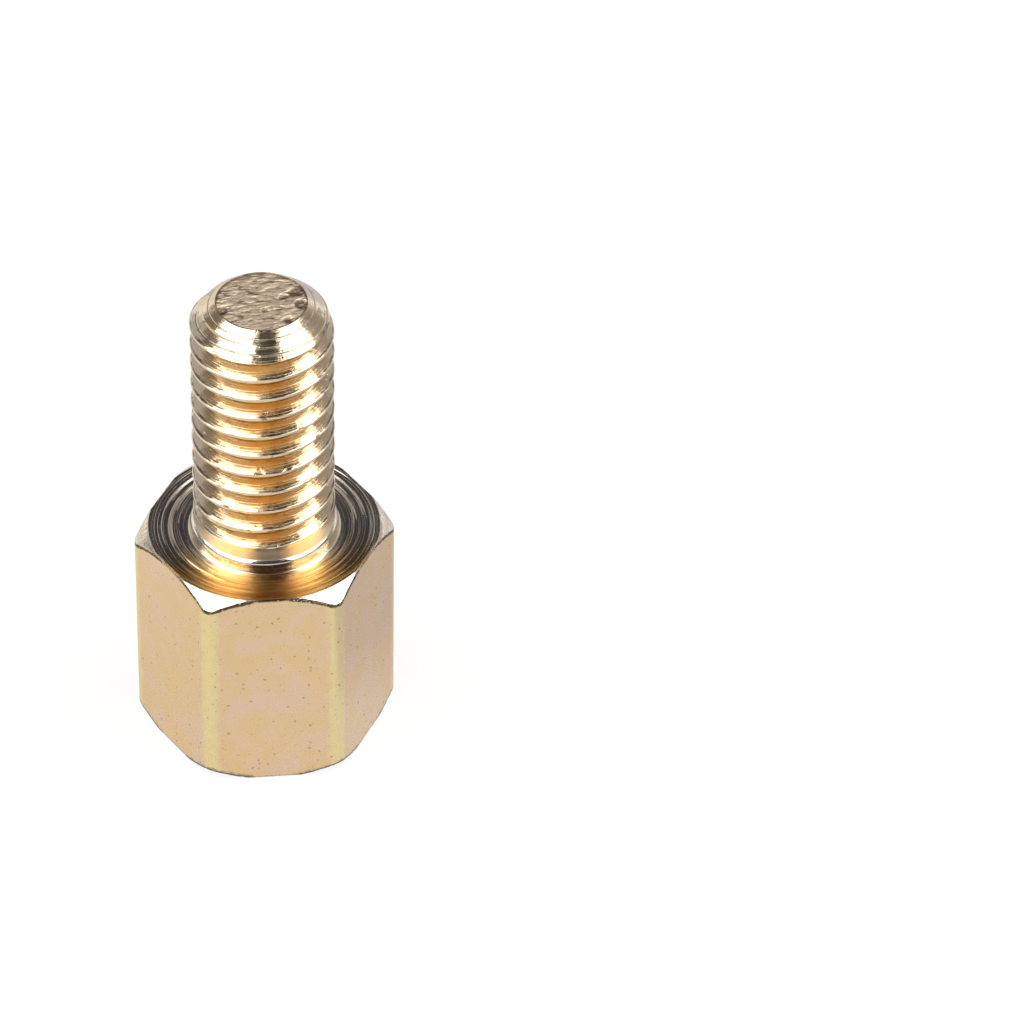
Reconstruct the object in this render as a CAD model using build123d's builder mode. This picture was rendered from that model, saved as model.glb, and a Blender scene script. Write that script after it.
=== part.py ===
from build123d import *
from build123d.topology import SkipClean
import os
from math import atan, degrees, radians, tan

# A male-female threaded spacer, turned from hexagonal bar: a hexagonal body with
# a threaded stud on top and a tapped blind hole in its base. Millimetres and degrees.
# The origin is the centre of the base face, +Z runs up along the stud, and two of
# the six flats face -Y and +Y.

# Hexagonal body
across_flats = 4.8
bar_corner_radius = 0.3
body_length = 5.0
end_face_radius = 2.44
end_chamfer_angle = 42.0

# Stud and its tip
stud_length = 6.0
crest_radius = 1.485
tip_face_radius = 0.95
tip_chamfer_height = 0.455

# Plain, slightly tapered collar between the thread and the shoulder
collar_base_radius = 1.575
collar_top_radius = 1.54
collar_height = 0.24

# Thread of the stud: one right-handed V groove, 60 degrees between its flanks
thread_pitch = 0.5
thread_depth = 0.3
flank_angle = 30.0
crest_flat = thread_pitch / 8
last_groove_height = 0.85
run_out_turns = 0.8

# Tapped hole in the base, drawn at its minor diameter
hole_depth = 4.0
hole_radius = 1.25
hole_mouth_radius = 1.55
drill_point_angle = 118.0

# The stud is turned in sectors, so that each crest is a row of short runs of the helix
sector_count = 11

# The groove's cutter stands this far out of the stud
cutter_overshoot = 0.15
flank_overshoot = 0.03

front_angle = -90.0
tip_height = body_length + stud_length
sector_angle = 360 / sector_count


def axial_plane(angle, height=0.0):
    """The half-plane through the axis at an angle about Z: x is outwards and y is up."""
    return Plane(
        origin=(0, 0, height),
        x_dir=Vector(1, 0, 0).rotate(Axis.Z, angle),
        z_dir=Vector(0, -1, 0).rotate(Axis.Z, angle),
    )


# Hexagonal body, with both ends chamfered by turning, which leaves arcs on the flats
turned_radius = across_flats
chamfer_drop = (turned_radius - end_face_radius) * tan(radians(end_chamfer_angle))

with BuildPart() as hexagon_body:
    with BuildSketch() as bar_section:
        RegularPolygon(across_flats / 2, 6, major_radius=False)
        fillet(bar_section.vertices(), bar_corner_radius)
    extrude(amount=body_length)
    with BuildSketch(Plane.XZ) as turned_section:
        with BuildLine():
            Polyline(
                (0, 0),
                (end_face_radius, 0),
                (turned_radius, chamfer_drop),
                (turned_radius, body_length - chamfer_drop),
                (end_face_radius, body_length),
                (0, body_length),
                close=True,
            )
        make_face()
    revolve(axis=Axis.Z, mode=Mode.INTERSECT)

    # Blind hole with its drill point and a countersunk mouth
    drill_point_height = hole_radius / tan(radians(drill_point_angle / 2))
    mouth_depth = hole_mouth_radius - hole_radius
    with BuildSketch(Plane.XZ) as hole_section:
        with BuildLine():
            Polyline(
                (0, 0),
                (hole_mouth_radius, 0),
                (hole_radius, mouth_depth),
                (hole_radius, hole_depth),
                (0, hole_depth + drill_point_height),
                close=True,
            )
        make_face()
    revolve(axis=Axis.Z, mode=Mode.SUBTRACT)


# Section of the groove, and the helix that its root follows
crest_half_width = (thread_pitch - crest_flat) / 2
root_half_width = crest_half_width - thread_depth * tan(radians(flank_angle))
root_radius = crest_radius - thread_depth
flank_end = thread_depth + flank_overshoot
flank_end_half_width = crest_half_width + flank_overshoot * tan(radians(flank_angle))
cutter_end = thread_depth + cutter_overshoot


def groove_section(plane, root_distance):
    """The V of the groove, open outwards, with its root at a distance from the axis."""
    with BuildSketch(plane) as section:
        with BuildLine():
            Polyline(
                (root_distance, -root_half_width),
                (root_distance + flank_end, -flank_end_half_width),
                (root_distance + cutter_end, -flank_end_half_width),
                (root_distance + cutter_end, flank_end_half_width),
                (root_distance + flank_end, flank_end_half_width),
                (root_distance, root_half_width),
                close=True,
            )
        make_face()
    return section.sketch


# One full turn of the groove, and the run-out, where the tool backs out below it
groove_bottom = body_length + last_groove_height

with BuildPart() as groove_turn:
    with BuildLine() as turn_path:
        Helix(thread_pitch, thread_pitch, root_radius)
    sweep(groove_section(axial_plane(0), root_radius), path=turn_path.line, is_frenet=True, clean=False)

run_out_drop = run_out_turns * thread_pitch
run_out_radius = root_radius + flank_end
run_out_angle = degrees(atan(flank_end / run_out_drop))

with BuildPart() as run_out:
    with BuildLine() as run_out_path:
        Helix(
            thread_pitch,
            run_out_drop,
            run_out_radius,
            cone_angle=-run_out_angle,
        )
    sweep(
        groove_section(axial_plane(0), run_out_radius),
        path=run_out_path.line,
        is_frenet=True,
        clean=False,
    )

# The whole spacer. Its faces are kept apart at the sectors' edges.
collar_top = body_length + collar_height
collar_bevel_top = collar_top + collar_top_radius - crest_radius
turn_count = int((tip_height - groove_bottom) / thread_pitch) + 2
cutters = [
    groove_turn.part.moved(Location((0, 0, groove_bottom + turn * thread_pitch), (0, 0, front_angle)))
    for turn in range(turn_count)
]
run_out_turn = front_angle - 360 * run_out_turns
cutters.append(run_out.part.moved(Location((0, 0, groove_bottom - run_out_drop), (0, 0, run_out_turn))))

with SkipClean(), BuildPart() as threaded_spacer:
    for sector in range(sector_count):
        with BuildSketch(axial_plane(front_angle + sector * sector_angle)) as stud_section:
            with BuildLine():
                Polyline(
                    (0, body_length),
                    (collar_base_radius, body_length),
                    (collar_top_radius, collar_top),
                    (crest_radius, collar_bevel_top),
                    (crest_radius, tip_height - tip_chamfer_height),
                    (tip_face_radius, tip_height),
                    (0, tip_height),
                    close=True,
                )
            make_face()
        revolve(axis=Axis.Z, revolution_arc=sector_angle, clean=False)
    for cutter in cutters:
        add(cutter, mode=Mode.SUBTRACT, clean=False)
    add(hexagon_body.part, clean=False)

threaded_spacer.part.label = "threaded_spacer"
os.makedirs("parts", exist_ok=True)
export_step(threaded_spacer.part, "parts/threaded_spacer.step")
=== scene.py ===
import random
from functools import lru_cache
from math import atan2, cos, hypot, pi, radians, sin, sqrt, tan

import bmesh
import bpy
from mathutils import Matrix, Vector, noise


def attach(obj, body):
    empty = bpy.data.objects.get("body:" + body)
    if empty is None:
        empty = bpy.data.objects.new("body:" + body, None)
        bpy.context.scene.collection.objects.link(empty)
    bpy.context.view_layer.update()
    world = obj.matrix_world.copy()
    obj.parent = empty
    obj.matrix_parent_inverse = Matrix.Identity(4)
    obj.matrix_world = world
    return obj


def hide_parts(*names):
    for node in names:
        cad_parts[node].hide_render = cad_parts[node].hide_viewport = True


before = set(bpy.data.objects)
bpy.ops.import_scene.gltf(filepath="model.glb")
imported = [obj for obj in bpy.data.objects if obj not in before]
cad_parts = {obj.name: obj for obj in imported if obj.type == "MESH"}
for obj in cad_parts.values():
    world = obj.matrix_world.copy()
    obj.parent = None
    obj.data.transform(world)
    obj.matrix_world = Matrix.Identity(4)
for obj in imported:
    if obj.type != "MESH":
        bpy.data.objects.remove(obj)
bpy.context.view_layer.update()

# All shapes below are drawn in millimetres and brought to metres at the end
MM = 0.001

# Hexagonal body, as in the frame
ACROSS_FLATS = 4.8
BAR_CORNER_RADIUS = 0.3
BODY_LENGTH = 5.0
END_FACE_RADIUS = 2.44
END_CHAMFER_ANGLE = radians(42.0)
RIM_ROUNDING = 0.04
RIM_BURR = 0.007

# Rings on the wall just beside a chamfer, which keep the wall's shading flat
WALL_STEPS = (0.08, 0.01)

# Ridges left by the turning tool: outer and inner radius, count and depth
BASE_RIDGES = (2.3, 1.7, 4, 0.006)
SHOULDER_RIDGES = (2.34, 1.68, 9, 0.022)

# Stud, collar and tip
TIP_HEIGHT = 11.0
CREST_RADIUS = 1.485
TIP_FACE_RADIUS = 0.95
TIP_CHAMFER_HEIGHT = 0.455
COLLAR_BASE_RADIUS = 1.575
COLLAR_TOP_RADIUS = 1.54
COLLAR_HEIGHT = 0.24
COLLAR_TOP = BODY_LENGTH + COLLAR_HEIGHT
THREAD_BOTTOM = COLLAR_TOP + COLLAR_TOP_RADIUS - CREST_RADIUS

# Thread of the stud
PITCH = 0.5
THREAD_DEPTH = 0.3
FLANK_SLOPE = tan(radians(30.0))
CREST_HALF_GAP = PITCH * 7 / 16
CREST_ROUNDING = 0.02
LAST_GROOVE_HEIGHT = 5.85
RUN_OUT_TURNS = 0.8
STUD_GROOVES = 13
FRONT_ANGLE = radians(-90.0)

# Tapped hole in the base
HOLE_DEPTH = 4.0
HOLE_RADIUS = 1.25
HOLE_MOUTH_RADIUS = 1.55
HOLE_THREAD_DEPTH = 0.24
HOLE_THREAD_TOP = 3.6
HOLE_THREAD_FADE = 0.45
HOLE_FIRST_GROOVE = -0.75
HOLE_GROOVES = 10
DRILL_POINT_SLOPE = tan(radians(59.0))

# Dents and burrs along the crests
DENT_COUNT = 110
DENT_SIZES = (0.03, 0.075)
DENT_DEPTHS = (0.006, 0.02)
THREAD_WAVINESS = 0.004

# Torn face of the tip: direction of its ridges, and its pits as (x, y, size, depth)
TORN_ANGLE = radians(14)
TORN_PITS = [
    (-0.84, -0.20, 0.17, 0.060),
    (0.74, 0.30, 0.20, 0.050),
    (0.82, -0.14, 0.18, 0.060),
    (0.47, 0.14, 0.12, 0.030),
    (0.06, -0.26, 0.10, 0.035),
    (0.50, -0.62, 0.14, 0.030),
]

# Plain rings inside the rims: the inner and outer one of the base, and the shoulder's outer one
BASE_FACE_RADII = (HOLE_MOUTH_RADIUS + 0.08, 2.34)
SHOULDER_RADIUS = 2.352

# Rings from the shoulder over the collar to the thread, as (radius, height)
COLLAR_RINGS = [
    (COLLAR_BASE_RADIUS + 0.035, BODY_LENGTH - 0.004),
    (COLLAR_BASE_RADIUS + 0.012, BODY_LENGTH + 0.003),
    (COLLAR_BASE_RADIUS + 0.002, BODY_LENGTH + 0.014),
    (COLLAR_BASE_RADIUS - 0.004, BODY_LENGTH + 0.06),
    (COLLAR_TOP_RADIUS + 0.006, COLLAR_TOP - 0.05),
    (COLLAR_TOP_RADIUS + 0.001, COLLAR_TOP - 0.012),
    (COLLAR_TOP_RADIUS - 0.008, COLLAR_TOP + 0.006),
    (CREST_RADIUS + 0.012, THREAD_BOTTOM - 0.012),
    (CREST_RADIUS, THREAD_BOTTOM),
]

# Steps round the axis
STUD_STEPS = 360
HOLE_STEPS = 120
MERGE_DISTANCE = 2e-5


def polar(radius, angle, height):
    return Vector((radius * cos(angle), radius * sin(angle), height))


def from_flat(angle):
    """Angle from the middle of the nearest flat; two flats face -Y and +Y."""
    return (angle - FRONT_ANGLE + radians(30)) % radians(60) - radians(30)


def bar_angle(angle):
    """Moves an even step round the bar, so that the rounded corners get more of the steps."""
    away = from_flat(angle)
    stops = [(0.0, 0.0), (22.0, 26.2), (23.0, 26.8), (30.0, 30.0)]
    for (a0, b0), (a1, b1) in zip(stops, stops[1:]):
        if abs(away) <= radians(a1) + 1e-6:
            part = (abs(away) - radians(a0)) / radians(a1 - a0)
            moved = radians(b0) + part * radians(b1 - b0)
            return angle - away + (moved if away > 0 else -moved)
    return angle


def bar_radius(angle):
    """Distance from the axis to the hexagonal bar's surface."""
    half = ACROSS_FLATS / 2
    away = abs(from_flat(angle))
    from_corner = radians(30) - away
    corner_distance = (half - BAR_CORNER_RADIUS) / cos(radians(30))
    tangent_angle = atan2((half - BAR_CORNER_RADIUS) * tan(radians(30)), half)
    if away <= tangent_angle:
        return half / cos(away)
    across = corner_distance * sin(from_corner)
    return corner_distance * cos(from_corner) + sqrt(BAR_CORNER_RADIUS**2 - across**2)


@lru_cache(maxsize=None)
def rim_points(radius):
    """Chamfered and slightly rounded rim of one end: (radius, depth below the face), wall first."""
    slope = tan(END_CHAMFER_ANGLE)
    inset = RIM_ROUNDING
    wall = radius - inset
    slant = inset / cos(END_CHAMFER_ANGLE)
    chamfer_depth = max(inset, (wall - END_FACE_RADIUS) * slope + slant)
    face_radius = min(wall, END_FACE_RADIUS + (inset - slant) / slope)
    normal = pi / 2 - END_CHAMFER_ANGLE
    lower = [0.0, normal / 2, normal]
    upper = [normal, (normal + pi / 2) / 2, pi / 2]
    points = [(radius, chamfer_depth + step) for step in WALL_STEPS]
    points += [(wall + inset * cos(a), chamfer_depth - inset * sin(a)) for a in lower]
    points += [(face_radius + inset * cos(a), inset - inset * sin(a)) for a in upper]
    return points


def add_ring(bm, edges, place):
    """Extrudes a ring of edges and moves each new vertex to place(step angle)."""
    angle_layer = bm.verts.layers.float["angle"]
    made = bmesh.ops.extrude_edge_only(bm, edges=edges)["geom"]
    for vert in made:
        if isinstance(vert, bmesh.types.BMVert):
            vert.co = place(vert[angle_layer])
    made_verts = {v for v in made if isinstance(v, bmesh.types.BMVert)}
    return [e for e in made if isinstance(e, bmesh.types.BMEdge) and set(e.verts) <= made_verts]


def start_ring(bm, steps):
    """A circle of vertices that remember their step angle, in a mesh that is still empty."""
    angle_layer = bm.verts.layers.float.new("angle")
    circle = bmesh.ops.create_circle(bm, segments=steps, radius=3.0)["verts"]
    for vert in circle:
        step = round(atan2(vert.co.y, vert.co.x) * steps / (2 * pi))
        vert[angle_layer] = 2 * pi * step / steps
    return circle, bm.edges[:]


def ridge_share(angle, place):
    """Share of a ridge's depth at an angle. The tool shook, and the front is the smoothest part."""
    shake = noise.noise(Vector((0.8 * cos(angle), 0.8 * sin(angle), place)))
    front = 0.5 + 0.5 * cos(angle - FRONT_ANGLE)
    return min(1.0, max(0.12, 0.75 + 1.8 * shake - 0.9 * front**2))


def level(angle):
    """Depth of the side of a ridge that stays at the face, at any angle."""
    return 0.0


def turned_ridges(rng, outer, inner, count, depth):
    """Ridges of a turned face: (radius, depth at an angle), outermost first.

    Each has one steep side, on the outside or the inside, and a long slope to the next."""
    gap = (outer - inner) / count
    rows = []
    for k in range(count):
        middle = outer - (k + 0.5 + rng.uniform(-0.2, 0.2)) * gap
        drop = depth * rng.uniform(0.4, 1.0)
        steep = drop * rng.uniform(1.0, 1.6)
        place = rng.uniform(0, 50)

        def depth_at(angle, drop=drop, place=place):
            return drop * ridge_share(angle, place)

        first, last = (level, depth_at) if rng.random() < 0.5 else (depth_at, level)
        rows.append((middle + steep / 2, first))
        rows.append((middle - steep / 2, last))
    return rows


def rim_place(k, angle, top):
    """Place on ring k of a rim, where a burr wanders along the edge."""
    moved = bar_angle(angle)
    points = rim_points(round(bar_radius(moved), 6))
    radius, depth = points[k]
    burr = RIM_BURR * abs(noise.noise(Vector((cos(moved) * 34, sin(moved) * 34, k * 0.3))))
    radius -= burr if k > 1 else 0.0
    depth += burr if 1 < k < len(points) - 1 else 0.0
    return polar(radius, moved, BODY_LENGTH - depth if top else depth)


def body_places():
    """Places of the body's rings, from the mouth of the hole round the outside to the thread."""
    rng = random.Random(11)
    base_ridges = turned_ridges(rng, *BASE_RIDGES)
    shoulder_ridges = turned_ridges(rng, *SHOULDER_RIDGES)
    rim_rings = range(len(rim_points(ACROSS_FLATS / 2)))

    def turned(radius, height):
        return lambda angle: polar(radius, angle, height)

    def ridge(radius, height_at):
        return lambda angle: polar(radius, angle, height_at(angle))

    def rim(k, top):
        return lambda angle: rim_place(k, angle, top)

    def below_shoulder(depth_at):
        return lambda angle: BODY_LENGTH - depth_at(angle)

    places = [turned(BASE_FACE_RADII[0], 0.0)]
    places += [ridge(radius, depth_at) for radius, depth_at in reversed(base_ridges)]
    places += [turned(BASE_FACE_RADII[1], 0.0)]
    places += [rim(k, False) for k in reversed(rim_rings)]
    places += [rim(k, True) for k in rim_rings]
    places += [turned(SHOULDER_RADIUS, BODY_LENGTH)]
    places += [ridge(radius, below_shoulder(depth_at)) for radius, depth_at in shoulder_ridges]
    places += [turned(radius, height) for radius, height in COLLAR_RINGS]
    return places


def thread_rows(first_groove, groove_count, radius, depth, outside):
    """Half-plane outline of a row of grooves, as (radius, height), lowest point first."""
    sign = 1.0 if outside else -1.0
    half_gap = CREST_HALF_GAP
    root_half = half_gap - depth * FLANK_SLOPE
    back = CREST_ROUNDING * cos(radians(60))
    rise = CREST_ROUNDING * sin(radians(60))
    rows = []
    for groove in range(groove_count):
        middle = first_groove + groove * PITCH
        one_side = [
            (radius, half_gap + CREST_ROUNDING),
            (radius - sign * back * 0.3, half_gap + CREST_ROUNDING * 0.2),
            (radius - sign * rise, half_gap - back),
            (radius - sign * (rise + 0.05), half_gap - back - 0.05 * FLANK_SLOPE),
            (radius - sign * (depth - 0.03), root_half + 0.03 * FLANK_SLOPE),
            (radius - sign * (depth - 0.004), root_half - 0.004),
            (radius - sign * depth, root_half * 0.4),
        ]
        rows += [(r, middle - z) for r, z in one_side]
        rows += [(r, middle + z) for r, z in reversed(one_side)]
    return rows


def clip(points, limit, outside):
    """Brings the points of one outline that pass the turned limit back to it, along the outline."""
    sign = 1.0 if outside else -1.0
    past = [sign * (r - limit(z)) for r, z in points]
    moved = []
    for k, (r, z) in enumerate(points):
        if past[k] <= 0:
            moved.append((r, z))
            continue
        near = [j for j in (k - 1, k + 1) if 0 <= j < len(points) and past[j] < 0]
        if near:
            j = near[0]
            part = past[j] / (past[j] - past[k])
            z_cut = points[j][1] + (z - points[j][1]) * part
            moved.append((limit(z_cut), z_cut))
        else:
            moved.append((limit(z), z))
    return moved


def stud_limit(z):
    """Radius of the turned blank of the stud at a height."""
    chamfer_start = TIP_HEIGHT - TIP_CHAMFER_HEIGHT
    if z <= chamfer_start:
        return CREST_RADIUS
    slope = (CREST_RADIUS - TIP_FACE_RADIUS) / TIP_CHAMFER_HEIGHT
    return CREST_RADIUS - (z - chamfer_start) * slope


def stud_outline(rows, turn):
    """Outline of the stud's thread at a part of a turn from the front, as (radius, height)."""
    run_out_drop = RUN_OUT_TURNS * PITCH
    raised = []
    for r, z in rows:
        groove = round((z - LAST_GROOVE_HEIGHT) / PITCH) * PITCH + LAST_GROOVE_HEIGHT
        below = LAST_GROOVE_HEIGHT - (groove + turn * PITCH)
        lift = max(0.0, below / run_out_drop) * (THREAD_DEPTH + 0.03)
        raised.append((r + lift, z + turn * PITCH))
    placed = []
    for r, z in clip(raised, stud_limit, True):
        height = min(max(z, THREAD_BOTTOM), TIP_HEIGHT)
        placed.append((r if height == z else stud_limit(height), height))
    return placed


def hole_limit(z):
    """Radius of the countersunk and drilled hole at a height."""
    return max(HOLE_RADIUS, HOLE_MOUTH_RADIUS - z)


def hole_outline(rows, turn):
    """Outline of the hole's thread at a part of a turn from the front, as (radius, height)."""
    placed = []
    for r, z in clip([(r, z + turn * PITCH) for r, z in rows], hole_limit, False):
        height = min(max(z, 0.0), HOLE_THREAD_TOP)
        fade = HOLE_RADIUS + max(0.0, (HOLE_THREAD_TOP - height) / HOLE_THREAD_FADE * HOLE_THREAD_DEPTH)
        placed.append((min(r, fade) if height == z else hole_limit(height), height))
    return [(max(r, hole_limit(z)), z) for r, z in placed]


def sweep_thread(rows, steps, outline_at):
    """Spins an outline one turn up the screw and places each column of it by outline_at(rows, turn)."""
    coarse_steps = 12
    bm = bmesh.new()
    row_layer = bm.verts.layers.float.new("row")
    line = [bm.verts.new((r, 0, z)) for r, z in rows]
    for k, vert in enumerate(line):
        vert[row_layer] = k
    edges = [bm.edges.new(pair) for pair in zip(line, line[1:])]
    bmesh.ops.spin(
        bm,
        geom=line + edges,
        cent=(0, 0, 0),
        axis=(0, 0, 1),
        dvec=(0, 0, PITCH / coarse_steps),
        angle=2 * pi,
        steps=coarse_steps,
        use_merge=False,
        use_normal_flip=False,
        use_duplicate=False,
    )
    round_edges = [e for e in bm.edges if round(e.verts[0][row_layer]) == round(e.verts[1][row_layer])]
    bmesh.ops.subdivide_edges(bm, edges=round_edges, cuts=steps // coarse_steps - 1, use_grid_fill=True)
    outlines = [outline_at(rows, step / steps) for step in range(steps + 1)]
    for vert in bm.verts:
        k = round(vert[row_layer])
        step = round((vert.co.z - rows[k][1]) * steps / PITCH)
        radius, height = outlines[step][k]
        vert.co = polar(radius, FRONT_ANGLE + 2 * pi * step / steps, height)
    bmesh.ops.remove_doubles(bm, verts=bm.verts, dist=MERGE_DISTANCE)
    return bm


def take_in(bm, part):
    """Adds the geometry of one bmesh to another."""
    carried = bpy.data.meshes.new("carried")
    part.to_mesh(carried)
    part.free()
    bm.from_mesh(carried)
    bpy.data.meshes.remove(carried)


def crest_dents():
    """Dents near the crests: (angle, height, size, depth)."""
    rng = random.Random(5)
    last_turn = (TIP_HEIGHT - 0.9 - LAST_GROOVE_HEIGHT) / PITCH
    dents = []
    for k in range(DENT_COUNT):
        turns = rng.uniform(0.2, last_turn)
        angle = FRONT_ANGLE + 2 * pi * (turns % 1)
        height = LAST_GROOVE_HEIGHT - PITCH / 2 + turns * PITCH + rng.uniform(-0.04, 0.03)
        dents.append((angle, height, rng.uniform(*DENT_SIZES), rng.uniform(*DENT_DEPTHS)))
    return dents


def dent_crests(bm):
    """Small dents and burrs along the crests, and a slight waviness of the whole thread."""
    dents = crest_dents()
    for vert in bm.verts:
        radius = hypot(vert.co.x, vert.co.y)
        angle = atan2(vert.co.y, vert.co.x)
        height = vert.co.z
        if height < THREAD_BOTTOM + 0.02 or height > TIP_HEIGHT - 0.02:
            continue
        wave = noise.noise(Vector((vert.co.x * 1.3, vert.co.y * 1.3, height * 2.0)))
        change = THREAD_WAVINESS * wave
        if radius > CREST_RADIUS - 0.06 and height < TIP_HEIGHT - TIP_CHAMFER_HEIGHT - 0.02:
            for dent_angle, dent_height, size, depth in dents:
                if abs(height - dent_height) > size:
                    continue
                turn = (angle - dent_angle + pi) % (2 * pi) - pi
                away = hypot(turn * radius / 1.6, height - dent_height)
                if away < size:
                    change -= depth * (1 - (away / size) ** 2)
        vert.co.x *= (radius + change) / radius
        vert.co.y *= (radius + change) / radius


def torn_height(x, y):
    """Depth below the tip of the torn face at a point, from ridges, grain and broken pits."""
    u = x * cos(TORN_ANGLE) + y * sin(TORN_ANGLE)
    v = y * cos(TORN_ANGLE) - x * sin(TORN_ANGLE)
    bend = noise.noise(Vector((u * 1.4, v * 1.4, 3.0)))
    ridge = abs(noise.noise(Vector((u * 2.3 + bend, (v + 0.22 * bend) * 4.4, 7.0))))
    fine = noise.noise(Vector((u * 5.0, v * 17.0 + bend, 1.0)))
    grain = noise.noise(Vector((x * 21, y * 21, 4.0)))
    depth = 0.018 + 0.034 * (0.45 - ridge) * (0.7 + 0.5 * bend) - 0.008 * fine - 0.003 * grain
    for px, py, size, low in TORN_PITS:
        away = hypot(x - px, y - py) / size + 0.25 * noise.noise(Vector((x * 9, y * 9, 2.0)))
        if away < 1:
            depth += low * (1 - away * away) * (1 + 0.5 * grain)
    return max(0.004, depth)


def torn_tip(bm, edges):
    """Rough face where the stud broke off the bar: a square net drawn into the circle."""
    cells = 84
    made = bmesh.ops.create_grid(bm, x_segments=cells, y_segments=cells, size=1.0)["verts"]
    inner = TIP_FACE_RADIUS - 0.015
    for vert in made:
        x = vert.co.x * sqrt(1 - vert.co.y**2 / 2) * inner
        y = vert.co.y * sqrt(1 - vert.co.x**2 / 2) * inner
        vert.co = Vector((x, y, TIP_HEIGHT - torn_height(x, y)))
    net = set(made)
    rim = [e for e in bm.edges if len(e.link_faces) == 1 and net.issuperset(e.verts)]
    bmesh.ops.bridge_loops(bm, edges=edges + rim)


def ring_at(bm, height, radius):
    """Open edges that lie round the axis at a height and inside a radius."""
    return [
        e for e in bm.edges
        if len(e.link_faces) == 1
        and all(abs(v.co.z - height) < 1e-4 and hypot(v.co.x, v.co.y) < radius for v in e.verts)
    ]


def build_spacer():
    """The whole spacer but for the end of its hole, from the base outwards and up to the tip."""
    bm = bmesh.new()
    circle, edges = start_ring(bm, STUD_STEPS)
    places = body_places()
    angle_layer = bm.verts.layers.float["angle"]
    for vert in circle:
        vert.co = places[0](vert[angle_layer])
    for place in places[1:]:
        edges = add_ring(bm, edges, place)

    first_groove = LAST_GROOVE_HEIGHT - 2 * PITCH
    rows = thread_rows(first_groove, STUD_GROOVES, CREST_RADIUS, THREAD_DEPTH, True)
    stud = sweep_thread(rows, STUD_STEPS, stud_outline)
    dent_crests(stud)
    take_in(bm, stud)
    torn_tip(bm, ring_at(bm, TIP_HEIGHT, 1.0))

    rows = thread_rows(HOLE_FIRST_GROOVE, HOLE_GROOVES, HOLE_RADIUS, HOLE_THREAD_DEPTH, False)
    take_in(bm, sweep_thread(rows, HOLE_STEPS, hole_outline))
    bmesh.ops.remove_doubles(bm, verts=bm.verts, dist=MERGE_DISTANCE)
    bmesh.ops.bridge_loops(bm, edges=ring_at(bm, 0.0, HOLE_MOUTH_RADIUS + 0.1))
    return bm


def ends_of(edges):
    """The vertices of some edges, once each and always in the same order."""
    return list(dict.fromkeys(v for e in edges for v in e.verts))


def close_hole(bm):
    """Plain end of the hole and the cone that the drill leaves."""
    angle_layer = bm.verts.layers.float["angle"]
    edges = ring_at(bm, HOLE_THREAD_TOP, HOLE_RADIUS + 0.1)
    for vert in ends_of(edges):
        vert[angle_layer] = atan2(vert.co.y, vert.co.x)
    for radius in (HOLE_RADIUS, HOLE_RADIUS - 0.012, 0.6, 0.04):
        height = HOLE_DEPTH + (HOLE_RADIUS - radius) / DRILL_POINT_SLOPE
        edges = add_ring(bm, edges, lambda a, r=radius, z=height: polar(r, a, z))
    point_height = HOLE_DEPTH + HOLE_RADIUS / DRILL_POINT_SLOPE
    bmesh.ops.pointmerge(bm, verts=ends_of(edges), merge_co=(0, 0, point_height))


DRAWN, TURNED, THREAD, TORN, TAPPED = range(5)

# Everything farther from the axis than this belongs to the body's wall and rims
BODY_INSIDE = 2.3


def finish_of(face):
    """Which finish a face of the spacer has."""
    middle = face.calc_center_median()
    radius = hypot(middle.x, middle.y)
    if middle.z < BODY_LENGTH - 0.1 and radius < HOLE_MOUTH_RADIUS + 0.01:
        return TAPPED
    if radius > ACROSS_FLATS / 2 - 0.04 and abs(face.normal.z) < 0.3 and middle.z < BODY_LENGTH:
        return DRAWN
    if middle.z > TIP_HEIGHT - 0.14 and radius < TIP_FACE_RADIUS - 0.005:
        return TORN
    if middle.z > BODY_LENGTH + 0.01:
        return THREAD
    return TURNED


def mark_wear(bm):
    """Marks the corners of the bar, the rims and the crests, where the finish is rubbed."""
    wear_layer = bm.verts.layers.float.new("worn")
    for vert in bm.verts:
        radius = hypot(vert.co.x, vert.co.y)
        angle = atan2(vert.co.y, vert.co.x)
        worn = 0.0
        if radius > BODY_INSIDE and abs(from_flat(angle)) > radians(26.75):
            worn = 1.0
        elif vert.co.z > THREAD_BOTTOM and CREST_RADIUS - 0.02 < radius:
            worn = 1.0
        elif CREST_RADIUS < radius < BODY_INSIDE and vert.co.z > BODY_LENGTH + 0.01:
            worn = 0.4
        vert[wear_layer] = worn


bm = build_spacer()
close_hole(bm)
bmesh.ops.recalc_face_normals(bm, faces=bm.faces)
mark_wear(bm)
for face in bm.faces:
    face.smooth = True
    face.material_index = finish_of(face)
bmesh.ops.scale(bm, vec=(MM, MM, MM), verts=bm.verts)
mesh = bpy.data.meshes.new("spacer")
bm.to_mesh(mesh)
bm.free()
mesh.set_sharp_from_angle(angle=radians(32))
spacer = bpy.data.objects.new("spacer", mesh)
bpy.context.scene.collection.objects.link(spacer)
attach(spacer, "root")
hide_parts("threaded_spacer")


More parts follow.
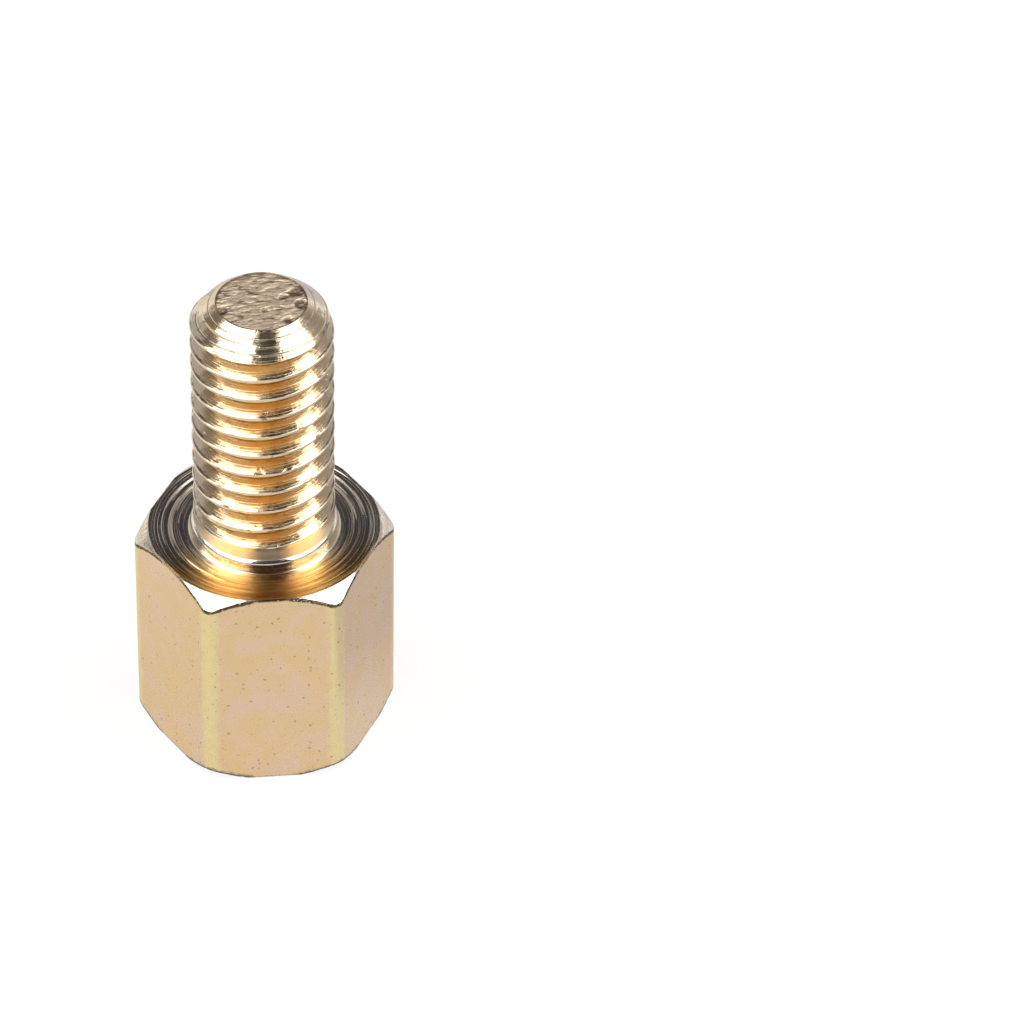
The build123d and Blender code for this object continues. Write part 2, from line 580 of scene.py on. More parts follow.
class Nodes:
    """Adds and joins the nodes of one tree.

    An input is named by its label with _ for a space, or by i and its number."""

    def __init__(self, tree):
        self.tree = tree

    def add(self, kind, settings=None, **inputs):
        node = self.tree.nodes.new(kind)
        for name, value in (settings or {}).items():
            setattr(node, name, value)
        for name, value in inputs.items():
            key = int(name[1:]) if name[0] == "i" and name[1:].isdigit() else name.replace("_", " ")
            self.set(node.inputs[key], value)
        return node

    def set(self, socket, value):
        if isinstance(value, bpy.types.NodeSocket):
            self.tree.links.new(value, socket)
        else:
            socket.default_value = value

    def math(self, operation, a, b=0.0, c=0.0):
        return self.add("ShaderNodeMath", {"operation": operation}, i0=a, i1=b, i2=c).outputs[0]

    def times(self, a, b):
        return self.math("MULTIPLY", a, b)

    def minus(self, a, b):
        return self.math("SUBTRACT", a, b)

    def mix(self, factor, a, b):
        node = self.add("ShaderNodeMix", {"data_type": "RGBA"}, i0=factor, i6=a, i7=b)
        return node.outputs[2]

    def band(self, value, low, high):
        """Smooth step of a value, from 0 at low to 1 at high."""
        node = self.add("ShaderNodeMapRange", {"interpolation_type": "SMOOTHSTEP"}, Value=value)
        node.inputs["From Min"].default_value = low
        node.inputs["From Max"].default_value = high
        return node.outputs[0]

    def noise(self, place, **inputs):
        return self.add("ShaderNodeTexNoise", None, Vector=place, **inputs).outputs[0]

    def noise_along(self, distance, **inputs):
        """Noise that changes along one distance only."""
        return self.add("ShaderNodeTexNoise", {"noise_dimensions": "1D"}, W=distance, **inputs).outputs[0]

    def fall(self, value, low, high):
        """Smooth step of a value, from 1 at low to 0 at high."""
        return self.minus(1.0, self.band(value, low, high))


def new_group(name, inputs, outputs):
    """A node group with its (label, kind) sockets, and a way to fill it."""
    tree = bpy.data.node_groups.new(name, "ShaderNodeTree")
    for label, kind in inputs:
        tree.interface.new_socket(label, in_out="INPUT", socket_type=kind)
    for label, kind in outputs:
        tree.interface.new_socket(label, in_out="OUTPUT", socket_type=kind)
    nodes = Nodes(tree)
    return nodes, nodes.add("NodeGroupInput").outputs, nodes.add("NodeGroupOutput").inputs, tree


FLOAT, COLOUR, VECTOR = "NodeSocketFloat", "NodeSocketColor", "NodeSocketVector"


def turning_marks():
    """Fine grooves that run round the axis: a height that changes with radius and height."""
    nodes, given, result, tree = new_group(
        "turning_marks",
        [
            ("Place", VECTOR),
            ("Marks Per mm", FLOAT),
            ("Along Axis", FLOAT),
            ("Breaks", FLOAT),
            ("Scores", FLOAT),
        ],
        [("Height", FLOAT)],
    )
    x, y, z = nodes.add("ShaderNodeSeparateXYZ", None, Vector=given["Place"]).outputs
    radius = nodes.math("SQRT", nodes.math("MULTIPLY_ADD", x, x, nodes.times(y, y)))
    across = nodes.math("MULTIPLY_ADD", z, given["Along Axis"], radius)
    wander = nodes.noise(given["Place"], Scale=1.1, Detail=2.0)
    shifted = nodes.math("MULTIPLY_ADD", wander, given["Breaks"], across)
    scaled = nodes.times(shifted, given["Marks Per mm"])
    lines = nodes.noise_along(scaled, Scale=1.0, Detail=3.0, Roughness=0.6)
    steps = nodes.noise_along(scaled, Scale=0.8, Detail=1.0, Roughness=0.5)
    near = nodes.math("ABSOLUTE", nodes.minus(steps, 0.5))
    score = nodes.times(nodes.minus(nodes.band(near, 0.0, 0.03), 1.0), given["Scores"])
    nodes.set(result["Height"], nodes.math("ADD", lines, score))
    return tree


def specks():
    """Scattered small pits: a mask that is 1 in each pit."""
    nodes, given, result, tree = new_group(
        "specks",
        [("Place", VECTOR), ("Per mm", FLOAT), ("Share", FLOAT), ("Size", FLOAT)],
        [("Mask", FLOAT)],
    )
    bend = nodes.add("ShaderNodeTexNoise", None, Vector=given["Place"], Scale=9.0, Detail=1.0)
    moved = nodes.add("ShaderNodeVectorMath", {"operation": "MULTIPLY_ADD"}, i0=bend.outputs["Color"],
                      i1=(0.09, 0.09, 0.05), i2=given["Place"]).outputs[0]
    cells = nodes.add("ShaderNodeTexVoronoi", None, Vector=moved, Scale=given["Per mm"])
    chance = nodes.add("ShaderNodeSeparateColor", None, Color=cells.outputs["Color"]).outputs
    chosen = nodes.math("LESS_THAN", chance[0], given["Share"])
    reach = nodes.times(given["Size"], nodes.math("MULTIPLY_ADD", chance[1], 0.8, 0.4))
    near = nodes.minus(1.0, nodes.math("DIVIDE", cells.outputs["Distance"], reach))
    nodes.set(result["Mask"], nodes.times(nodes.band(near, 0.0, 0.5), chosen))
    return tree


def plating_tone():
    """Uneven colour of the plating, from a deep to a pale tone, paler towards the tip."""
    nodes, given, result, tree = new_group(
        "plating_tone",
        [("Place", VECTOR), ("Deep", COLOUR), ("Pale", COLOUR), ("Patch Size", FLOAT)],
        [("Colour", COLOUR)],
    )
    height = nodes.add("ShaderNodeSeparateXYZ", None, Vector=given["Place"]).outputs[2]
    cloud = nodes.noise(given["Place"], Scale=given["Patch Size"], Detail=4.0, Roughness=0.55)
    tip = nodes.times(nodes.band(height, 9.9, 10.9), 0.7)
    uneven = nodes.times(nodes.band(cloud, 0.42, 0.72), 0.55)
    share = nodes.add("ShaderNodeClamp", None, Value=nodes.math("ADD", tip, uneven)).outputs[0]
    nodes.set(result["Colour"], nodes.mix(share, given["Deep"], given["Pale"]))
    return tree


def rubbed_edge():
    """Broken mask of the worn corners and crests."""
    nodes, given, result, tree = new_group(
        "rubbed_edge",
        [("Place", VECTOR), ("Evenness", FLOAT)],
        [("Mask", FLOAT)],
    )
    worn = nodes.add("ShaderNodeAttribute", {"attribute_name": "worn"}).outputs["Fac"]
    cloud = nodes.noise(given["Place"], Scale=6.0, Detail=4.0)
    broken = nodes.math("ADD", nodes.band(cloud, 0.38, 0.6), given["Evenness"])
    sides = nodes.band(worn, 0.15, 0.85)
    nodes.set(result["Mask"], nodes.math("MINIMUM", nodes.times(sides, broken), 1.0))
    return tree


TURNING_MARKS = turning_marks()
SPECKS = specks()
PLATING_TONE = plating_tone()
RUBBED_EDGE = rubbed_edge()


def rgb(red, green, blue):
    return (red, green, blue, 1.0)


# Colours of the metal: the plating's deep and pale tones of each finish, and what lies over them, some of
# which is painted light and shade
FLAT_DEEP, FLAT_PALE = rgb(0.955, 0.69, 0.365), rgb(0.90, 0.71, 0.51)
THREAD_DEEP, THREAD_PALE = rgb(0.95, 0.70, 0.42), rgb(0.90, 0.77, 0.56)
TURNED_DEEP, TURNED_PALE = rgb(0.80, 0.68, 0.55), rgb(0.86, 0.76, 0.64)
TORN_DEEP, TORN_PALE = rgb(0.86, 0.63, 0.43), rgb(0.96, 0.79, 0.58)
HOLE_DEEP, HOLE_PALE = rgb(0.86, 0.60, 0.31), rgb(0.88, 0.68, 0.42)
FLAT_BLOTCH = rgb(0.97, 0.71, 0.53)
CORNER_YELLOW = rgb(1.0, 0.84, 0.42)
FLAT_PIT = rgb(0.40, 0.28, 0.15)
RIM_BURR_SHADE = rgb(0.06, 0.035, 0.02)
RIM_PAINTED_GLINT = rgb(1.0, 0.93, 0.80)
RIM_DIRT_AND_SHADE = rgb(0.30, 0.20, 0.11)
FOOT_PAINTED_SHADOW = rgb(0.07, 0.06, 0.055)
SHOULDER_PAINTED_REFLECTION = rgb(0.72, 0.44, 0.15)
SHOULDER_PAINTED_DARK_REFLECTION = rgb(0.27, 0.135, 0.045)
CHAMFER_PALE = rgb(0.96, 0.86, 0.68)
TURNED_PIT = rgb(0.5, 0.36, 0.18)
COLLAR_PALE = rgb(0.96, 0.92, 0.82)
CREST_RUBBED = rgb(0.93, 0.80, 0.58)
THREAD_PIT = rgb(0.42, 0.32, 0.2)
GROOVE_PAINTED_REFLECTION = rgb(0.90, 0.55, 0.20)
SIDE_PAINTED_SHEEN = rgb(0.92, 0.84, 0.72)
CREST_SHADE = rgb(0.16, 0.10, 0.05)
TIP_BLOT = rgb(0.40, 0.32, 0.23)
TORN_PIT_SHADE = rgb(0.13, 0.09, 0.06)
TORN_BRIM = rgb(0.16, 0.10, 0.06)
TORN_CRACK_SHADE = rgb(0.22, 0.14, 0.09)
HOLE_SHADE = rgb(0.6, 0.42, 0.22)

# How far the painted shade, painted glints and dirt at the rims of the flats reach, and the turned steps
# in the tip's chamfer
RIM_DARK_REACH = 0.1
TIP_STEP_RADII = (1.09, 1.34)


class Finish(Nodes):
    """One metal finish of the spacer, with its places in millimetres."""

    def __init__(self, name):
        self.material = bpy.data.materials.new(name)
        self.material.use_nodes = True
        super().__init__(self.material.node_tree)
        self.shader = self.tree.nodes["Principled BSDF"]
        self.shader.inputs["Metallic"].default_value = 1.0
        metres = self.add("ShaderNodeTexCoord").outputs["Object"]
        scaled = self.add("ShaderNodeVectorMath", {"operation": "SCALE"}, Vector=metres, Scale=1 / MM)
        self.place = scaled.outputs[0]
        self.x, self.y, self.z = self.add("ShaderNodeSeparateXYZ", None, Vector=self.place).outputs
        flat = self.add("ShaderNodeCombineXYZ", None, X=self.x, Y=self.y).outputs[0]
        length = self.add("ShaderNodeVectorMath", {"operation": "LENGTH"}, i0=flat)
        self.radius = length.outputs["Value"]

    def group(self, tree, **inputs):
        node = self.add("ShaderNodeGroup", {"node_tree": tree}, Place=self.place)
        for name, value in inputs.items():
            self.set(node.inputs[name.replace("_", " ")], value)
        return node.outputs[0]

    def plating(self, deep, pale, patch_size):
        return self.group(PLATING_TONE, Deep=deep, Pale=pale, Patch_Size=patch_size)

    def cloud(self, scale, detail=3.0, place=None):
        return self.noise(place or self.place, Scale=scale, Detail=detail)

    def ragged(self, value, spread, scale, detail=3.0):
        """A distance made uneven by noise, by half the spread either way."""
        return self.math("MULTIPLY_ADD", self.cloud(scale, detail), spread, self.minus(value, spread / 2))

    def paint(self, tone, colour, mask, share=1.0):
        """Lays a colour over a tone where a mask is 1, at a share of its strength."""
        return self.mix(self.times(mask, share), tone, colour)

    def finish(self, colour, roughness, height, depth_mm):
        """Sets the colour, the roughness and a bump, and hands the material to the mesh."""
        bump = self.add("ShaderNodeBump", None, Height=height, Distance=depth_mm * MM, Strength=1.0)
        self.set(self.shader.inputs["Base Color"], colour)
        self.set(self.shader.inputs["Roughness"], roughness)
        self.set(self.shader.inputs["Normal"], bump.outputs[0])
        mesh.materials.append(self.material)


def drawn_flats():
    """Satin flats of the drawn bar: blotches, pits, yellower corners, and rims with painted shade,
    painted glints and dirt.
    """
    f = Finish("drawn_flats")
    tone = f.plating(FLAT_DEEP, FLAT_PALE, 0.7)
    tone = f.paint(tone, FLAT_BLOTCH, f.band(f.cloud(1.7, 4.0), 0.42, 0.66), 0.55)

    # Yellow corners, which reach unevenly onto the flats
    turn = f.minus(f.math("ARCTAN2", f.y, f.x), FRONT_ANGLE)
    away = f.math("ABSOLUTE", f.math("WRAP", turn, radians(30), radians(-30)))
    along_flat = f.times(f.radius, f.math("SINE", away))
    beside = f.times(f.band(f.ragged(along_flat, 0.34, 3.2, 4.0), 1.09, 1.25), 0.75)
    rounding = f.times(f.group(RUBBED_EDGE, Evenness=0.1), 0.95)
    tone = f.paint(tone, CORNER_YELLOW, f.math("MAXIMUM", rounding, beside))

    large = f.group(SPECKS, Per_mm=6.5, Share=0.36, Size=0.22)
    small = f.group(SPECKS, Per_mm=12.0, Share=0.2, Size=0.24)
    pits = f.math("MAXIMUM", f.times(small, 0.6), large)
    tone = f.paint(tone, FLAT_PIT, pits, 0.62)

    # Distances below the top chamfer and above the bottom one, for the painted shade, painted glints and
    # dirt at the rims
    slope = tan(END_CHAMFER_ANGLE)
    rise = f.times(f.radius, slope)
    below_rim = f.minus(BODY_LENGTH + END_FACE_RADIUS * slope, f.math("ADD", rise, f.z))
    above_rim = f.math("ADD", f.z, f.minus(END_FACE_RADIUS * slope, rise))
    # Painted shade: a dark line along the burred top rim
    burr = f.fall(f.ragged(below_rim, 0.09, 7.0), RIM_DARK_REACH * 0.6, RIM_DARK_REACH)
    tone = f.paint(tone, RIM_BURR_SHADE, burr, 0.92)
    # Painted highlights: glints in specks along the top rim's dark line
    painted_glints = f.times(burr, f.group(SPECKS, Per_mm=13.0, Share=0.45, Size=0.42))
    tone = f.paint(tone, RIM_PAINTED_GLINT, painted_glints, 0.9)
    # Dirt and painted shade above the bottom rim, where the spacer stands on the floor
    dirt_and_shade = f.fall(f.ragged(above_rim, 0.22, 9.0), RIM_DARK_REACH * 0.4, RIM_DARK_REACH)
    tone = f.paint(tone, RIM_DIRT_AND_SHADE, dirt_and_shade, 0.6)
    # Painted contact shadow: a thin dark line at the very foot of the flats
    tone = f.paint(tone, FOOT_PAINTED_SHADOW, f.fall(above_rim, 0.02, 0.06), 0.85)

    drawn = f.add("ShaderNodeVectorMath", {"operation": "MULTIPLY"}, i0=f.place, i1=(1.0, 1.0, 0.06))
    lines = f.cloud(16.0, 3.0, drawn.outputs[0])
    grain = f.cloud(20.0, 1.0)
    height = f.math("MULTIPLY_ADD", grain, 0.25, f.times(lines, 0.4))
    height = f.minus(height, f.times(pits, 1.8))
    f.finish(tone, f.math("MULTIPLY_ADD", grain, 0.14, 0.2), height, 0.0022)


def turned_faces():
    """Bright turned shoulder, chamfers and base, with the tool's rings.

    Painted reflections make the shoulder gold to the front and browner in the middle there; elsewhere it
    is silvery."""
    f = Finish("turned_faces")
    tone = f.plating(TURNED_DEEP, TURNED_PALE, 1.2)
    front_of_painted_reflections = f.times(f.y, -1.0)
    # Painted reflection: the front of the shoulder is painted gold, as where it reflects the stud
    tone = f.paint(tone, SHOULDER_PAINTED_REFLECTION, f.band(front_of_painted_reflections, 0.2, 1.7))
    on_face = f.fall(f.radius, END_FACE_RADIUS - 0.05, END_FACE_RADIUS)
    off_collar = f.band(f.radius, COLLAR_BASE_RADIUS + 0.02, COLLAR_BASE_RADIUS + 0.14)
    tone = f.mix(f.times(off_collar, on_face), CHAMFER_PALE, tone)
    # Painted dark reflection on the middle of the shoulder's front, just before the collar
    middle = f.times(f.fall(f.math("ABSOLUTE", f.x), 0.25, 1.0), f.band(front_of_painted_reflections, 1.3, 1.6))
    tone = f.paint(tone, SHOULDER_PAINTED_DARK_REFLECTION, f.times(middle, on_face), 0.95)
    pits = f.group(SPECKS, Per_mm=6.0, Share=0.16, Size=0.22)
    tone = f.paint(tone, TURNED_PIT, pits, 0.5)

    coarse = f.group(TURNING_MARKS, Marks_Per_mm=11.0, Along_Axis=-0.7, Breaks=0.015, Scores=0.6)
    fine = f.group(TURNING_MARKS, Marks_Per_mm=46.0, Along_Axis=-0.7, Breaks=0.015, Scores=0.3)
    height = f.math("MULTIPLY_ADD", fine, 0.35, coarse)
    height = f.minus(height, f.times(pits, 0.8))
    f.finish(tone, f.math("MULTIPLY_ADD", fine, 0.1, 0.13), height, 0.0032)


def bright_thread():
    """Bright thread, collar and tip chamfer, with fine lines round them, burrs and rubbed crests."""
    f = Finish("bright_thread")
    tone = f.plating(THREAD_DEEP, THREAD_PALE, 1.0)
    on_collar = f.fall(f.z, 5.45, 5.7)
    tone = f.paint(tone, COLLAR_PALE, on_collar)
    tone = f.paint(tone, CREST_RUBBED, f.group(RUBBED_EDGE, Evenness=0.2), 0.7)
    pits = f.group(SPECKS, Per_mm=9.0, Share=0.2, Size=0.25)
    tone = f.paint(tone, THREAD_PIT, pits, 0.6)

    # Painted reflections: the grooves get a deep gold, strongest at the front and back, and the sides a
    # pale painted sheen
    sideways = f.math("ABSOLUTE", f.x)
    in_groove = f.fall(f.radius, 1.28, 1.47)
    below_tip = f.fall(f.z, 10.2, 10.6)
    central = f.math("MULTIPLY_ADD", f.band(sideways, 0.2, 0.75), -0.7, 0.9)
    tone = f.paint(tone, GROOVE_PAINTED_REFLECTION, f.times(in_groove, f.times(below_tip, central)))
    # Painted sheen on the stud's sides, where it is seen at a grazing angle
    tone = f.paint(tone, SIDE_PAINTED_SHEEN, f.band(sideways, 1.0, 1.45), 0.6)

    # Broken dark line just inside each crest
    under_crest = f.times(f.band(f.radius, 1.43, 1.452), f.fall(f.radius, 1.462, 1.474))
    patches = f.band(f.cloud(4.0), 0.36, 0.6)
    tone = f.paint(tone, CREST_SHADE, f.times(under_crest, patches), 0.75)

    # Blots and turned steps on the tip's chamfer
    chamfer_start = TIP_HEIGHT - TIP_CHAMFER_HEIGHT
    on_chamfer = f.band(f.z, chamfer_start + 0.02, chamfer_start + 0.05)
    blots = f.times(f.band(f.cloud(3.4, 4.0), 0.54, 0.62), on_chamfer)
    tone = f.paint(tone, TIP_BLOT, blots, 0.6)
    lines = f.group(TURNING_MARKS, Marks_Per_mm=26.0, Along_Axis=0.0, Breaks=0.02, Scores=0.3)
    height = f.math("MULTIPLY_ADD", f.cloud(2.6, 2.0), 3.4, f.times(lines, 0.35))
    height = f.minus(height, pits)
    for step_radius in TIP_STEP_RADII:
        away = f.math("ABSOLUTE", f.minus(f.radius, step_radius))
        height = f.minus(height, f.times(f.times(f.fall(away, 0.0, 0.016), on_chamfer), 1.6))

    neck = f.times(f.band(f.z, THREAD_BOTTOM - 0.02, THREAD_BOTTOM + 0.01), on_collar)
    rough = f.math("MULTIPLY_ADD", lines, 0.1, f.math("MULTIPLY_ADD", neck, 0.24, 0.1))
    f.finish(tone, rough, height, 0.0045)


def torn_face():
    """Torn face of the tip: dull, grained along its ridges, with painted shade in the pits and cracks."""
    f = Finish("torn_face")
    tone = f.plating(TORN_DEEP, TORN_PALE, 2.2)
    # Painted shade in the deepest parts of the torn face
    tone = f.paint(tone, TORN_PIT_SHADE, f.band(f.minus(TIP_HEIGHT, f.z), 0.03, 0.055), 0.85)
    brim = f.band(f.ragged(f.radius, 0.16, 5.0), TIP_FACE_RADIUS - 0.07, TIP_FACE_RADIUS - 0.03)
    tone = f.paint(tone, TORN_BRIM, brim, 0.8)
    turned = f.add("ShaderNodeMapping", None, Vector=f.place, Rotation=(0, 0, -TORN_ANGLE),
                   Scale=(4.0, 16.0, 4.0))
    grain = f.cloud(1.0, 5.0, turned.outputs[0])
    # Painted shade in the low cracks between the grain's ridges
    tone = f.paint(tone, TORN_CRACK_SHADE, f.fall(grain, 0.37, 0.46), 0.8)
    crumbs = f.cloud(22.0)
    height = f.math("ADD", grain, f.times(crumbs, 0.45))
    f.finish(tone, f.math("MULTIPLY_ADD", crumbs, 0.2, 0.36), height, 0.02)


def tapped_hole():
    """Tapped hole: plain metal with the tap's lines, a little duller and darker with depth."""
    f = Finish("tapped_hole")
    tone = f.plating(HOLE_DEEP, HOLE_PALE, 1.4)
    tone = f.paint(tone, HOLE_SHADE, f.band(f.z, 0.5, 4.0), 0.5)
    lines = f.group(TURNING_MARKS, Marks_Per_mm=30.0, Along_Axis=0.0, Breaks=0.05, Scores=0.3)
    grain = f.cloud(12.0)
    height = f.math("MULTIPLY_ADD", grain, 0.8, lines)
    f.finish(tone, f.math("MULTIPLY_ADD", grain, 0.15, 0.15), height, 0.005)


# The order is that of the finishes' numbers above
drawn_flats()
turned_faces()
bright_thread()
torn_face()
tapped_hole()

# Camera, fitted to the edges of the object in the photograph (1024 by 1024 pixels)
IMAGE_SIZE = 1024
CAMERA_AZIMUTH = radians(-3.724)
CAMERA_ELEVATION = radians(40.455)
CAMERA_DISTANCE = 137.14
CAMERA_ROLL = radians(-0.777)
FOCAL_PIXELS = 6571.0
TARGET = Vector((0, 0, 6.0))
TARGET_PIXEL = (263.88, 488.07)


def direction(azimuth, elevation):
    """Unit vector towards a direction; azimuth 0 is the front and 90 is the right."""
    a, e = radians(azimuth), radians(elevation)
    return Vector((sin(a) * cos(e), -cos(a) * cos(e), sin(e)))


def make_camera():
    """The photograph's camera: turned to the target, rolled, then panned to its place in the picture."""
    data = bpy.data.cameras.new("camera")
    data.sensor_width = 36.0
    data.lens = data.sensor_width * FOCAL_PIXELS / IMAGE_SIZE
    data.clip_start = 0.001
    data.clip_end = 20.0
    camera = bpy.data.objects.new("camera", data)
    bpy.context.scene.collection.objects.link(camera)
    back = Vector((
        sin(CAMERA_AZIMUTH) * cos(CAMERA_ELEVATION),
        -cos(CAMERA_AZIMUTH) * cos(CAMERA_ELEVATION),
        sin(CAMERA_ELEVATION),
    ))
    right = Vector((cos(CAMERA_AZIMUTH), sin(CAMERA_AZIMUTH), 0))
    up = back.cross(right)
    rolled_right = right * cos(CAMERA_ROLL) + up * sin(CAMERA_ROLL)
    rolled_up = up * cos(CAMERA_ROLL) - right * sin(CAMERA_ROLL)
    axes = Matrix((rolled_right, rolled_up, back)).transposed()
    across = TARGET_PIXEL[0] - IMAGE_SIZE / 2
    down = TARGET_PIXEL[1] - IMAGE_SIZE / 2
    pan = atan2(across, FOCAL_PIXELS)
    tilt = atan2(down, hypot(FOCAL_PIXELS, across))
    turned = axes @ Matrix.Rotation(pan, 3, "Y") @ Matrix.Rotation(tilt, 3, "X")
    camera.matrix_world = Matrix.Translation((TARGET + back * CAMERA_DISTANCE) * MM) @ turned.to_4x4()
    bpy.context.scene.camera = camera


make_camera()

# Plain studio: a pale floor, two large softboxes, and cards that only the metal sees
bpy.context.scene.view_settings.view_transform = "Standard"
FLOOR_COLOUR = 0.53
FLOOR_IN_METAL = rgb(0.77, 0.76, 0.81)
# Painted light to the left and painted shadow to the right, in the floor as the metal sees it
FLOOR_IN_METAL_PAINTED_LIGHT = rgb(0.83, 0.80, 0.74)
FLOOR_IN_METAL_PAINTED_SHADOW = rgb(0.55, 0.53, 0.62)
FLOOR_TO_CAMERA = rgb(1.2, 1.2, 1.2)
FLOOR_GLOW_SHARE = 0.7
WORLD_LEVEL = 0.35
WORLD_LEVEL_SEEN = 1.0
SOFTBOX_LEVEL = 2.0
WALL_DISTANCE = 0.6
SCREEN_DISTANCE = 0.3

# Curved cards: name, range of azimuths, range of elevations, distance and colour
CARDS = [
    ("dark_wall_behind", (155, 205), (10, 70), WALL_DISTANCE, rgb(0.042, 0.045, 0.055)),
    ("grey_wall_left", (205, 230), (10, 64), WALL_DISTANCE, rgb(0.42, 0.41, 0.41)),
    ("grey_wall_right", (126, 155), (10, 64), WALL_DISTANCE, rgb(0.40, 0.39, 0.39)),
    ("brown_screen_left", (230, 256), (8, 60), SCREEN_DISTANCE, rgb(0.15, 0.14, 0.125)),
    ("grey_screen_right", (96, 126), (8, 52), SCREEN_DISTANCE, rgb(0.27, 0.26, 0.245)),
    ("pale_low_wall", (112, 248), (0.5, 10), WALL_DISTANCE, rgb(1.0, 0.97, 0.97)),
    ("dark_edge_of_table", (-112, 112), (0.5, 19), WALL_DISTANCE, rgb(0.12, 0.12, 0.12)),
]

# Edges of the dark gap between the softboxes: elevation, and how far it reaches left and right
GAP_ROWS = [
    (16, -0.38, 0.58),
    (30, -0.35, 0.55),
    (45, -0.26, 0.42),
    (57, -0.22, 0.33),
    (66, -0.18, 0.40),
    (75, -0.15, 0.42),
    (82, -0.12, 0.42),
    (89, -0.10, 0.40),
]
GAP_COLOUR = rgb(0.035, 0.026, 0.02)


def link_stage(name, bm, material):
    """Makes an object of the studio, which is no piece of the part."""
    data = bpy.data.meshes.new(name)
    bm.to_mesh(data)
    bm.free()
    data.materials.append(material)
    obj = bpy.data.objects.new(name, data)
    bpy.context.scene.collection.objects.link(obj)
    return obj


def seen_directly(nodes):
    """The light path, and 1 for rays from the camera, off metal or through glass, else 0."""
    path = nodes.add("ShaderNodeLightPath").outputs
    direct = nodes.math("MAXIMUM", path["Is Camera Ray"], path["Is Glossy Ray"])
    return path, nodes.math("MAXIMUM", direct, path["Is Transmission Ray"])


def floor_paint():
    """Matt to light and shadow, a plain glow to the camera, and to the metal a glow with painted light to
    the left and a painted shadow to the right.
    """
    material = bpy.data.materials.new("floor_paint")
    material.use_nodes = True
    nodes = Nodes(material.node_tree)
    paint = nodes.tree.nodes["Principled BSDF"]
    paint.inputs["Base Color"].default_value = rgb(FLOOR_COLOUR, FLOOR_COLOUR, FLOOR_COLOUR)
    paint.inputs["Roughness"].default_value = 0.9
    paint.inputs["Specular IOR Level"].default_value = 0.0
    path, direct = seen_directly(nodes)
    place = nodes.add("ShaderNodeTexCoord").outputs["Object"]
    across = nodes.add("ShaderNodeSeparateXYZ", None, Vector=place).outputs[0]
    painted_light_side = nodes.band(nodes.times(across, -1.0), 1.0 * MM, 4.5 * MM)
    painted_shadow_side = nodes.band(across, 2.6 * MM, 5.4 * MM)
    in_metal = nodes.mix(painted_light_side, FLOOR_IN_METAL, FLOOR_IN_METAL_PAINTED_LIGHT)
    in_metal = nodes.mix(painted_shadow_side, in_metal, FLOOR_IN_METAL_PAINTED_SHADOW)
    seen = nodes.mix(path["Is Camera Ray"], in_metal, FLOOR_TO_CAMERA)
    glow = nodes.add("ShaderNodeEmission", None, Color=seen, Strength=1.0)
    share = nodes.times(direct, FLOOR_GLOW_SHARE)
    mixed = nodes.add("ShaderNodeMixShader", None, i0=share, i1=paint.outputs[0], i2=glow.outputs[0])
    nodes.set(nodes.tree.nodes["Material Output"].inputs["Surface"], mixed.outputs[0])
    return material


def make_floor():
    """One large plane under the spacer."""
    bm = bmesh.new()
    bmesh.ops.create_grid(bm, x_segments=1, y_segments=1, size=2.0)
    link_stage("floor", bm, floor_paint())


def make_world():
    """White to the camera and the metal, and a dim fill for the floor."""
    world = bpy.data.worlds.new("world")
    bpy.context.scene.world = world
    world.use_nodes = True
    nodes = Nodes(world.node_tree)
    background = nodes.tree.nodes["Background"]
    background.inputs["Color"].default_value = rgb(1, 1, 1)
    path, direct = seen_directly(nodes)
    level_rise = WORLD_LEVEL_SEEN - WORLD_LEVEL
    strength = nodes.math("MULTIPLY_ADD", direct, level_rise, WORLD_LEVEL)
    nodes.set(background.inputs["Strength"], strength)


def card_glow(name, colour):
    material = bpy.data.materials.new(name)
    material.use_nodes = True
    nodes = Nodes(material.node_tree)
    glow = nodes.add("ShaderNodeEmission", None, Color=colour, Strength=1.0)
    nodes.set(nodes.tree.nodes["Material Output"].inputs["Surface"], glow.outputs[0])
    return material


def seen_in_metal_only(card):
    """Hides a card from everything but reflections."""
    card.visible_camera = False
    card.visible_diffuse = False
    card.visible_shadow = False


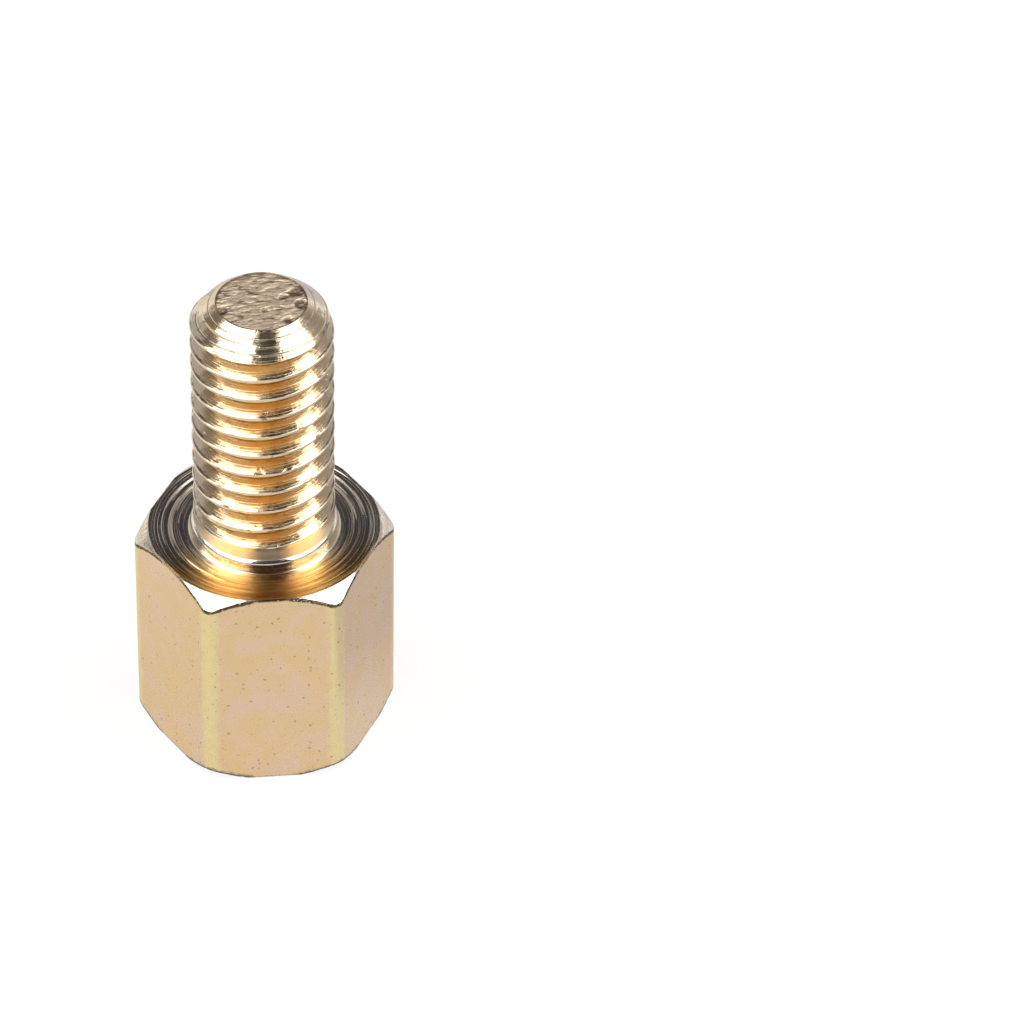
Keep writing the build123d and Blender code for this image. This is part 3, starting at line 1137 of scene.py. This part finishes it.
def curved_card(name, azimuths, elevations, distance, colour):
    """A card of even brightness on a sphere round the object."""
    rows = 12
    bm = bmesh.new()
    start, end = azimuths
    low, high = elevations
    heights = [low + (high - low) * k / rows for k in range(rows + 1)]
    line = [bm.verts.new(direction(start, elevation) * distance) for elevation in heights]
    edges = [bm.edges.new(pair) for pair in zip(line, line[1:])]
    bmesh.ops.spin(bm, geom=line + edges, cent=(0, 0, 0), axis=(0, 0, 1), dvec=(0, 0, 0),
                   angle=radians(end - start), steps=24, use_merge=False, use_normal_flip=False,
                   use_duplicate=False)
    seen_in_metal_only(link_stage(name, bm, card_glow(name, colour)))


def dark_gap(name, rows, distance, colour):
    """The unlit gap between the softboxes, from the front up over the top, as a curved strip."""

    def place(elevation, across):
        rest = sqrt(1 - across**2)
        e = radians(elevation)
        return Vector((across, -cos(e) * rest, sin(e) * rest)) * distance

    bm = bmesh.new()
    elevation, left, right = rows[0]
    pair = [bm.verts.new(place(elevation, left)), bm.verts.new(place(elevation, right))]
    edge = bm.edges.new(pair)
    middle = (pair[0].co.x + pair[1].co.x) / 2
    for elevation, left, right in rows[1:]:
        made = bmesh.ops.extrude_edge_only(bm, edges=[edge])["geom"]
        edge = next(
            e for e in made
            if isinstance(e, bmesh.types.BMEdge) and all(v in made for v in e.verts)
        )
        for vert in edge.verts:
            vert.co = place(elevation, left if vert.co.x < middle else right)
    seen_in_metal_only(link_stage(name, bm, card_glow(name, colour)))


def softbox(name, azimuth, elevation, distance, width, height, level):
    """An oblong lamp that faces the object and is equally bright at any size."""
    data = bpy.data.lights.new(name, "AREA")
    data.shape = "RECTANGLE"
    data.size = width
    data.size_y = height
    data.energy = level * pi * width * height
    lamp = bpy.data.objects.new(name, data)
    bpy.context.scene.collection.objects.link(lamp)
    back = direction(azimuth, elevation)
    lamp.location = back * distance
    lamp.rotation_euler = back.to_track_quat("Z", "Y").to_euler()
    lamp.visible_camera = False


make_floor()
make_world()
softbox("left_softbox", -70, 50, 0.4, 0.62, 0.4, SOFTBOX_LEVEL)
softbox("right_softbox", 72, 50, 0.4, 0.54, 0.4, SOFTBOX_LEVEL)
for card in CARDS:
    curved_card(*card)
dark_gap("dark_gap_in_front", GAP_ROWS, SCREEN_DISTANCE, GAP_COLOUR)
